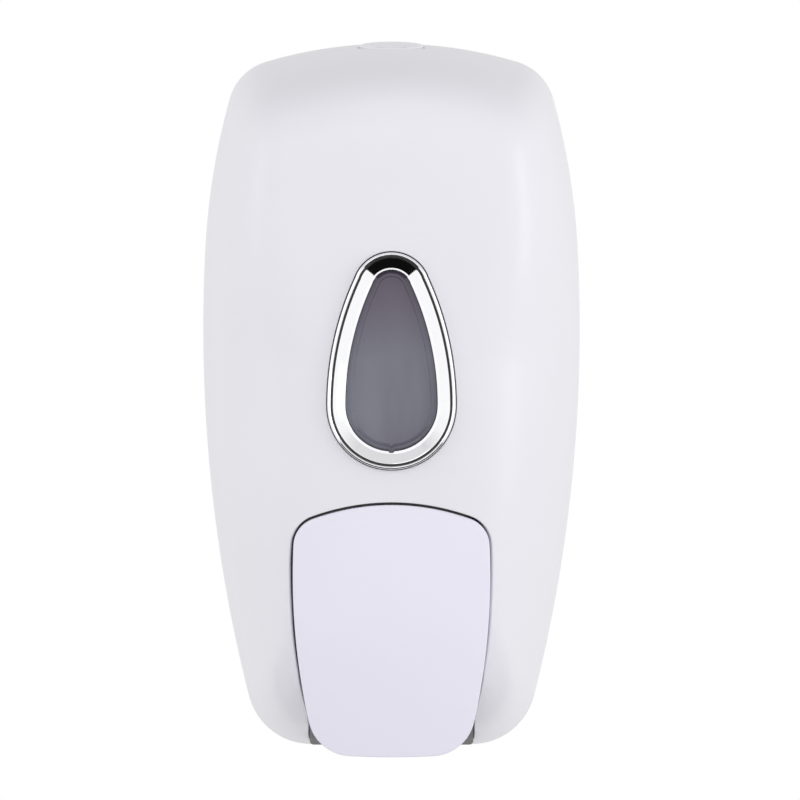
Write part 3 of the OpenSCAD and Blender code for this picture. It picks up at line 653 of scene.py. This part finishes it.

# ------------------------------------------------------------------ painted shadow: a dark strip in the lever's gap
# It runs along the lever's top and left side, where the photograph shows the gap black.
SHADE_STRIP_T, SHADE_STRIP_T_LEFT, SHADE_STRIP_TOP, SHADE_STRIP_DEEP, SHADE_STRIP_IN = 0.6, 0.9, 0.9, 2.1, 0.1
SHADE_STRIP_END_X, SHADE_STRIP_END_Z = 24, -91
shade_strip = Build()
shade_strip_rows, shade_strip_norms = [[], [], [], []], [[], [], [], []]
for p, n, b in zip(cut, cut_n, cut_b):
    if p.z <= SHADE_STRIP_END_Z or p.x >= SHADE_STRIP_END_X:
        continue
    reach = SHADE_STRIP_T + (SHADE_STRIP_T_LEFT - SHADE_STRIP_T) * ramped(-p.z, 34, 44) * (p.x < 0)
    corners = ((-SHADE_STRIP_IN, SHADE_STRIP_TOP), (reach, SHADE_STRIP_TOP), (reach, SHADE_STRIP_DEEP), (-SHADE_STRIP_IN, SHADE_STRIP_DEEP))
    for row, norm, (u, d) in zip(shade_strip_rows, shade_strip_norms, corners):
        row.append(p + b * u - n * d)
        norm.append((b if u > 0 else -b) + (n if d < 1 else -n))
shade_strip.strips(shade_strip_rows + shade_strip_rows[:1], shade_strip_norms + shade_strip_norms[:1], False)
for j in (0, -1):
    shade_strip.f.append([shade_strip.add(row[j], norm[j]) for row, norm in zip(shade_strip_rows, shade_strip_norms)])
# painted shadow: a black strip set in the gap where the gap is only in shade
shade(new_object("gap_shade_strip", shade_strip.v, shade_strip.f, "cover", RUBBER_AND_SHADE), 40)

# ------------------------------------------------------------------ small moulded solids


def prism(name, outline, axis, a, b, body, mat, bevel=0.25):
    """A flat outline with soft edges and a thickness from a to b, along X ('x': its points are y, z) or along
    Y ('y': its points are x, z)."""
    def place(u, v, w):
        return Vector((w, u, v) if axis == "x" else (u, w, v)) * MM
    bm = bmesh.new()
    lo = [bm.verts.new(place(u, v, a)) for u, v in outline]
    hi = [bm.verts.new(place(u, v, b)) for u, v in outline]
    bm.faces.new(lo)
    bm.faces.new(hi[::-1])
    n = len(lo)
    for i in range(n):
        bm.faces.new((lo[i], lo[(i + 1) % n], hi[(i + 1) % n], hi[i]))
    bmesh.ops.recalc_face_normals(bm, faces=bm.faces)
    me = bpy.data.meshes.new(name)
    bm.to_mesh(me)
    bm.free()
    ob = bpy.data.objects.new(name, me)
    soften(ob, bevel, 3)
    shade(ob, 40)
    dress(ob, body, mat)


def both_sides(body, mat, **pieces):
    """Pairs of upright plates, each given as its outline (y, z) and the x of its two faces."""
    for s, side in ((-1, "left"), (1, "right")):
        for name, (outline, x0, x1) in pieces.items():
            prism(name + "_" + side, outline, "x", *sorted((s * x0, s * x1)), body, mat)


HINGE, HINGE_R, LEVER_PIN, EAR_R = (-5.5, -107.5), 3.2, (-85, -30), 4.2
lug = arc(*HINGE, HINGE_R, -90, 90) + [(-16, -103.2), (-16, -109.8)]
bracket = arc(*LEVER_PIN, EAR_R, -180, 20) + [(-80.8, -22.0), (-97.0, -6.5), (-97.0, -22.0), (-89.2, -24.2)]
both_sides("cover", WHITE, hinge_lug=(lug, 27.7, 30.3), lever_bracket=(bracket, 23.2, 26.2))


def turned(name, profile, place, body, mat, count=96):
    """A turned ring. profile is a closed line of (radius, height) about Z, and the matrix place moves it."""
    verts = []
    for r, h in profile:
        verts += [place @ Vector((r * math.cos(a), r * math.sin(a), h))
                  for a in (2 * math.pi * i / count for i in range(count))]
    rings = [[j * count + i for i in range(count)] for j in range(len(profile))]
    faces = []
    for a, b in zip(rings, rings[1:]):
        faces += [(a[i], a[(i + 1) % count], b[(i + 1) % count], b[i]) for i in range(count)]
    ob = new_object(name, verts, faces, body, mat)
    outward(ob)
    shade(ob, 30)


# ring inside the cover that the lock sits in, made dark grey as painted shade in the gap round the lock
LOCK_SEAT_SHADE = [(7.05, -4.5), (7.05, -0.25), (7.3, 0), (11.5, 0), (11.8, -0.3), (11.8, -4.2),
             (11.5, -4.5), (7.05, -4.5)]
turned("lock_seat_shade", LOCK_SEAT_SHADE, LOCK, "cover", GREY_AND_SHADE)

# ------------------------------------------------------------------ lever
LEVER_FRONT, LEVER_WALL, LEVER_FILLET = 101.8, 2.5, 0.6
LEVER_ACROSS_R, LEVER_UP_R, LEVER_MID_Z = 133, 210, -55
SKIRT_TOP_Z, SKIRT_TOP_Y, SKIRT_LOW_Z, SKIRT_LOW_Y = -25.5, -91, -104.0, -83
LIP, FRONT_GRID_X, FRONT_GRID_Z, FILLET_STEPS = 2, 1.3, 1.15, 6


def lever_y(x, z):
    """Front of the lever: an arc across, turned about a line along X far behind it."""
    rad = LEVER_UP_R - LEVER_ACROSS_R + math.sqrt(LEVER_ACROSS_R * LEVER_ACROSS_R - x * x)
    return (LEVER_UP_R - LEVER_FRONT) - math.sqrt(max(0.0, rad * rad - (z - LEVER_MID_Z) ** 2))


def lever_normal(x, z):
    e = 0.3
    gx = (lever_y(x + e, z) - lever_y(x - e, z)) / (2 * e)
    gz = (lever_y(x, z + e) - lever_y(x, z - e)) / (2 * e)
    return Vector((gx, -1, gz)).normalized()


def skirt_y(z):
    """The rear edge of the lever's sides, which come further out from the wall towards the top."""
    return SKIRT_TOP_Y + (z - SKIRT_TOP_Z) * ((SKIRT_LOW_Y - SKIRT_TOP_Y) / (SKIRT_LOW_Z - SKIRT_TOP_Z))


def lever_front_mesh(border):
    """The lever's front within border, as points and triangles."""
    pts2 = [Vector((p.x, p.z)) for p in border]
    edges = [(i, (i + 1) % len(pts2)) for i in range(len(pts2))]
    poly = [(p.x, p.y) for p in pts2]
    pts3 = list(border)
    for iz in range(-56, 57):
        for ix in range(-24, 25):
            x = ix * FRONT_GRID_X + (FRONT_GRID_X / 2 if iz % 2 else 0)
            z = iz * FRONT_GRID_Z - 64
            if inside(poly, x, z) and min((p - Vector((x, z))).length for p in pts2) >= 0.8:
                pts2.append(Vector((x, z)))
                pts3.append(Vector((x, lever_y(x, z), z)))
    _, _, faces, origin, _, _ = delaunay_2d_cdt(pts2, edges, [], 1, 1e-5)
    return [pts3[o[0]] for o in origin], faces


loop = full_outline(LEVER, 1.4)
side_n = [Vector((nx, 0, nz)) for x, z, nx, nz in loop]


def drawn_in(inset, y_of):
    """The lever's outline drawn in by inset, at the depth y_of(x, z) of the outline's point."""
    return [Vector((x - inset * nx, y_of(x, z), z - inset * nz)) for x, z, nx, nz in loop]


border = [Vector((x - nx * LEVER_FILLET, 0, z - nz * LEVER_FILLET)) for x, z, nx, nz in loop]
for p in border:
    p.y = lever_y(p.x, p.z)
front, triangles = lever_front_mesh(border)
front_n = [lever_normal(p.x, p.z) for p in front]
lever = Build()
for p, n in zip(front, front_n):
    lever.add(p, n)
for f in triangles:
    lever.face(list(f))

rows, norms = [], []
for s in range(FILLET_STEPS + 1):
    a = math.pi / 2 * s / FILLET_STEPS
    row, norm = [], []
    for q, out in zip(border, side_n):
        n = lever_normal(q.x, q.z)
        b = within(out, n)
        row.append(q + b * (LEVER_FILLET * math.sin(a)) - n * (LEVER_FILLET * (1 - math.cos(a))))
        norm.append((n * math.cos(a) + b * math.sin(a)).normalized())
    rows.append(row)
    norms.append(norm)
# the sides run back to a softly rounded rear edge, and a lip turns in from it
rearward = [Vector((0, 1, 0))] * len(loop)
rows.append(drawn_in(0, lambda x, z: skirt_y(z) - 0.4))
norms.append(side_n)
rows.append(drawn_in(0.12, lambda x, z: skirt_y(z) - 0.12))
norms.append([(n + Vector((0, 1, 0))).normalized() for n in side_n])
rows.append(drawn_in(0.4, lambda x, z: skirt_y(z)))
norms.append(rearward)
rows.append(drawn_in(LIP, lambda x, z: skirt_y(z)))
norms.append(rearward)
lever.strips(rows, norms, True)
lever.strips([rows[-1], drawn_in(LIP, lambda x, z: lever_y(x, z) + 3.0)], [[-n for n in side_n]] * 2, True)
for f in triangles:
    lever.face([lever.add(front[i] + Vector((0, LEVER_WALL, 0)), -front_n[i]) for i in f])
lever_ob = new_object("lever_skin", lever.v, lever.f, "lever", LEVER_WHITE, ("push_lever",))
set_normals(lever_ob, lever.n)

ear = arc(*LEVER_PIN, EAR_R, 100, -40) + [(-92, -46), (-97, -49), (-97, -32.5), (-93, -32.5)]
both_sides("lever", LEVER_WHITE, lever_ear=(ear, 20.0, 22.8))
prism("lever_pad", [(-7, -91), (7, -91), (7, -77), (-7, -77)], "y", -83.7, -81.3, "lever", LEVER_WHITE, 0.5)
for i, x in enumerate((-7, -1, 5)):
    prism("lever_rib_%d" % i, [(-97.2, -91), (-82, -91), (-82, -77), (-98, -77)], "x", x, x + 2,
          "lever", LEVER_WHITE)
prism("lever_web", [(-97.6, -84), (-91, -84), (-91, -46), (-99.3, -46)], "x", -1, 1, "lever", LEVER_WHITE)

# ------------------------------------------------------------------ window
# Its rings follow the window's outline, one ring a level (inset, y).
WINDOW_PATH = full_outline(WINDOW, 0.6)
PATH_LEN = len(WINDOW_PATH)


def smooth_loop(profile, rounds):
    """A closed profile with its corners softened."""
    for _ in range(rounds):
        out = []
        for a, b in zip(profile, profile[1:] + profile[:1]):
            out.append((a[0] * 0.75 + b[0] * 0.25, a[1] * 0.75 + b[1] * 0.25))
            out.append((a[0] * 0.25 + b[0] * 0.75, a[1] * 0.25 + b[1] * 0.75))
        profile = out
    return profile


def notched(x, z, nx, nz, inset):
    """A point of the window's outline drawn in by inset. The inner lines have a small notch at the bottom."""
    if inset >= 4.95 and z < 0:
        inset -= 1.1 * max(0.0, 1 - abs(x) / 1.1)
    return x - nx * inset, z - nz * inset


def window_rings(levels):
    pts = []
    for inset, y in levels:
        for q in WINDOW_PATH:
            x, z = notched(*q, inset)
            pts.append((x, y, z))
    return pts


def ring_faces(rows, closed):
    out = []
    for j in range(rows if closed else rows - 1):
        a, b = j * PATH_LEN, (j + 1) % rows * PATH_LEN
        for i in range(PATH_LEN):
            k = (i + 1) % PATH_LEN
            out.append((a + i, a + k, b + k, b + i))
    return out


def window_ring(name, profile, mat, angle, replaces=()):
    ob = new_object(name, window_rings(profile), ring_faces(len(profile), True), "cover", mat, replaces)
    outward(ob)
    shade(ob, angle)


# chromed ring: a raised bead, a groove, a band that slopes in, and a narrow flat land round the lens
BEZEL = [
    (0.0, -99.3), (0.0, -100.6), (0.02, -101.3), (0.25, -101.75), (0.6, -101.9), (0.9, -101.75),
    (1.08, -101.4), (1.15, -101.1), (1.6, -101.05), (2.0, -100.93), (4.45, -99.63), (4.6, -99.55),
    (4.75, -99.53), (5.2, -99.53), (5.4, -99.4), (5.4, -98.6), (5.4, -96.65), (1.3, -96.65), (1.3, -99.3),
]
# painted shade: a thin dark line in the bezel's groove, and the step in the cover that the bezel sits in,
# made black as the shadow round the bezel
GROOVE_SHADE = [(1.0, -100.9), (1.02, -101.3), (1.2, -101.34), (1.6, -101.2), (1.75, -100.9)]
SEAT_SHADE = [(-SEAT_GAP - 0.5, -99.15), (1.0, -99.15), (1.0, -97.6), (-SEAT_GAP - 0.5, -97.6)]
window_ring("bezel_ring", smooth_loop(BEZEL, 2), CHROME, 180, ("window_bezel",))
window_ring("bezel_groove_shade", smooth_loop(GROOVE_SHADE, 1), RUBBER_AND_SHADE, 60)
window_ring("bezel_seat_shade", SEAT_SHADE, RUBBER_AND_SHADE, 40)

# lens: slightly crowned front with a rolled edge and a fine step inside it
LENS_REAR, LENS_FRONT, LENS_MID_Z, LENS_CROWN = -95.0, -97.1, 15.0, 0.3
LENS_EDGE = [(2.8, LENS_REAR), (2.8, -96.45), (5.2, -96.5), (5.3, -97.0), (5.7, -97.3), (7.2, -97.45),
             (7.45, LENS_FRONT), (7.8, -97.08), (8.2, LENS_FRONT)]
verts = window_rings(LENS_EDGE)
base = verts[-PATH_LEN:]
for u in (0.8, 0.55, 0.3):
    verts += [(x * u, LENS_FRONT - LENS_CROWN * (1 - u * u), LENS_MID_Z + (z - LENS_MID_Z) * u)
              for x, y, z in base]
rows = len(LENS_EDGE) + 3
faces = ring_faces(rows, False)
mid, last = len(verts), (rows - 1) * PATH_LEN
verts += [(0, LENS_FRONT - LENS_CROWN, LENS_MID_Z), (0, LENS_REAR, LENS_MID_Z)]
for i in range(PATH_LEN):
    k = (i + 1) % PATH_LEN
    faces += [(last + i, last + k, mid), (k, i, mid + 1)]
lens_ob = new_object("lens_pane", verts, faces, "cover", SMOKE, ("window_lens",))
outward(lens_ob)
shade(lens_ob, 50)

# ------------------------------------------------------------------ the carried-over CAD parts
LOOKS = [
    (STEEL, ("lever_pin", "lock_screw", "hinge_pins", "tray_screws", "lid_pin", "return_spring")),
    (MATTE, ("lock_cam", "back_plate", "lock_keeper", "tank_lid", "collar_nut", "pump_body", "spout",
             "gland_cap", "plunger")),
    (RUBBER_AND_SHADE, ("lid_gasket", "neck_gasket", "plunger_seal")),
    (SILICONE, ("inlet_valve", "outlet_valve")),
    (LOCK_WHITE_AND_SHEEN, ("lock_barrel",)),
    (GREY_AND_SHADE, ("base_tray",)),
    (FROST, ("soap_tank",)),
]
SOFT_EDGE = {
    "back_plate": 0.35, "lock_keeper": 0.3, "base_tray": 0.35, "soap_tank": 0.8, "tank_lid": 0.5,
    "collar_nut": 0.25, "spout": 0.3, "gland_cap": 0.3, "plunger": 0.25, "pump_body": 0.25,
    "lock_cam": 0.25, "lock_barrel": 0.3,
}
for mat, names in LOOKS:
    for name in names:
        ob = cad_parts[name]
        ob.data.materials.clear()
        ob.data.materials.append(mat)
        if name in SOFT_EDGE:
            ob.modifiers.new("weld", "WELD").merge_threshold = 0.00001
            soften(ob, SOFT_EDGE[name], 2).harden_normals = True

# ------------------------------------------------------------------ return spring
# A true round wire about the plunger's axis. The real spring shortens as the lever is pressed; this one is
# drawn at one fixed length.
TURNS, PER_TURN, WIRE_SIDES, COIL_R, WIRE_R = 4.0, 40, 12, 5.7, 0.5
SPRING_REAR, SPRING_FRONT, PUMP_Z = -63.5, -77.5, -84
y0, y1 = SPRING_REAR - WIRE_R - 0.02, SPRING_FRONT + WIRE_R + 0.02
count = int(TURNS * PER_TURN)
verts, faces = [], []
for j in range(count + 1):
    a = 2 * math.pi * j / PER_TURN
    y = y0 + (y1 - y0) * j / count
    for k in range(WIRE_SIDES):
        b = 2 * math.pi * k / WIRE_SIDES
        out = COIL_R + WIRE_R * math.cos(b)
        verts.append((out * math.cos(a), y + WIRE_R * math.sin(b), PUMP_Z + out * math.sin(a)))
for j in range(count):
    for k in range(WIRE_SIDES):
        a, b = j * WIRE_SIDES + k, j * WIRE_SIDES + (k + 1) % WIRE_SIDES
        faces.append((a, b, b + WIRE_SIDES, a + WIRE_SIDES))
faces.append(tuple(range(WIRE_SIDES)))
faces.append(tuple(count * WIRE_SIDES + k for k in range(WIRE_SIDES - 1, -1, -1)))
spring_ob = new_object("spring_wire", verts, faces, "wall_unit", STEEL, ("return_spring",))
shade(spring_ob, 50)
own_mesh(spring_ob)

# ------------------------------------------------------------------ studio, in metres


def stage_plane(name, mat, x, y0, y1, z):
    """A level rectangle of the studio, from -x to x."""
    me = bpy.data.meshes.new(name)
    me.from_pydata([(-x, y0, z), (x, y0, z), (x, y1, z), (-x, y1, z)], [], [(0, 1, 2, 3)])
    me.materials.append(mat)
    ob = bpy.data.objects.new(name, me)
    bpy.context.scene.collection.objects.link(ob)
    return ob


def reflected_only(ob):
    """As a photographer's card: only reflections see it."""
    ob.visible_camera = False
    ob.visible_diffuse = False
    ob.visible_shadow = False
    ob.visible_transmission = False


pale_floor, nt, b = material("pale_floor")
grain = noise(nt, object_coordinates(nt), 60, 3.0)
bump(nt, b, grain, 0.02, 0.001)
nt.links.new(between(nt, grain, (0.92, 0.92, 0.925), (0.94, 0.94, 0.945)), b.inputs["Base Color"])
b.inputs["Roughness"].default_value = 0.6
stage_plane("studio_floor", pale_floor, 1.2, -1.2, 1.2, -0.35).visible_glossy = False

# the dark card under the front gives the bezel its black wedge
card_black, _, b = material("card_black")
b.inputs["Base Color"].default_value = (0.006, 0.006, 0.006, 1)
b.inputs["Roughness"].default_value = 0.9
b.inputs["Specular IOR Level"].default_value = 0.0
reflected_only(stage_plane("dark_card", card_black, 0.27, -0.9, 0.05, -0.22))

# the pale card above the front gives the bezel its pale lower band
card_white, _, b = material("card_white")
b.inputs["Base Color"].default_value = (0, 0, 0, 1)
b.inputs["Emission Color"].default_value = (1, 1, 1, 1)
b.inputs["Emission Strength"].default_value = 0.7
reflected_only(stage_plane("pale_card", card_white, 0.6, -1.1, -0.1, 0.7))

# The world is white to the camera. As a light it dims with height and, a little, towards the wall's side.
world = bpy.data.worlds.new("studio")
bpy.context.scene.world = world
world.use_nodes = True
wn = world.node_tree
white = wn.nodes["Background"]
white.inputs["Color"].default_value = (1, 1, 1, 1)
direction = wn.nodes.new("ShaderNodeSeparateXYZ")
wn.links.new(wn.nodes.new("ShaderNodeTexCoord").outputs["Generated"], direction.inputs["Vector"])
sky = ramp(wn, direction.outputs["Z"], [(0.0, 1.0), (0.3, 0.96), (0.65, 0.66), (1.0, (0.54, 0.54, 0.55))])
fade = wn.nodes.new("ShaderNodeMapRange")
fade.inputs["From Min"].default_value = -1.0
fade.inputs["From Max"].default_value = 1.0
fade.inputs["To Min"].default_value = 1.04
fade.inputs["To Max"].default_value = 0.85
wn.links.new(direction.outputs["Y"], fade.inputs["Value"])
lit = wn.nodes.new("ShaderNodeBackground")
wn.links.new(sky, lit.inputs["Color"])
wn.links.new(fade.outputs["Result"], lit.inputs["Strength"])
pick = wn.nodes.new("ShaderNodeMixShader")
wn.links.new(wn.nodes.new("ShaderNodeLightPath").outputs["Is Camera Ray"], pick.inputs["Fac"])
wn.links.new(lit.outputs["Background"], pick.inputs[1])
wn.links.new(white.outputs["Background"], pick.inputs[2])
wn.links.new(pick.outputs["Shader"], wn.nodes["World Output"].inputs["Surface"])


def aim(ob, place, target):
    ob.location = place
    ob.rotation_euler = (Vector(target) - Vector(place)).to_track_quat("-Z", "Y").to_euler()


def area_light(name, place, target, size, power):
    li = bpy.data.lights.new(name, "AREA")
    li.shape = "RECTANGLE"
    li.size, li.size_y = size
    li.energy = power
    ob = bpy.data.objects.new(name, li)
    aim(ob, place, target)
    ob.visible_camera = False
    bpy.context.scene.collection.objects.link(ob)


area_light("soft_right", (2.1, -0.9, 0.35), (0, -0.05, 0), (1.2, 1.5), 9.8)
area_light("soft_left", (-2.2, -0.7, 0.6), (0, -0.05, 0), (1.2, 1.6), 5.2)
area_light("soft_front", (-0.5, -1.9, 1.2), (0, -0.05, 0.03), (1.0, 0.6), 1.5)
area_light("soft_top", (0, -0.62, 2.1), (0, -0.05, 0.03), (1.0, 0.6), 2.2)

# ------------------------------------------------------------------ camera
# It looks down by ELEVATION and sees VIEW_WIDTH at the object. SHIFT puts the object a little left of the
# picture's middle, as a share of the picture's width.
ELEVATION, DISTANCE, VIEW_WIDTH, SHIFT = math.radians(4.0), 1.35, 0.2468374, 0.010625
scene = bpy.context.scene
scene.view_settings.view_transform = "Standard"
scene.view_settings.look = "None"
cam_data = bpy.data.cameras.new("camera")
cam = bpy.data.objects.new("camera", cam_data)
scene.collection.objects.link(cam)
scene.camera = cam
target = Vector((0, -0.05, 0.0013))
aim(cam, target + Vector((0, -math.cos(ELEVATION), math.sin(ELEVATION))) * DISTANCE, target)
cam_data.sensor_width = 36.0
cam_data.lens = cam_data.sensor_width * DISTANCE / VIEW_WIDTH
cam_data.shift_x = SHIFT
cam_data.clip_end = 20.0
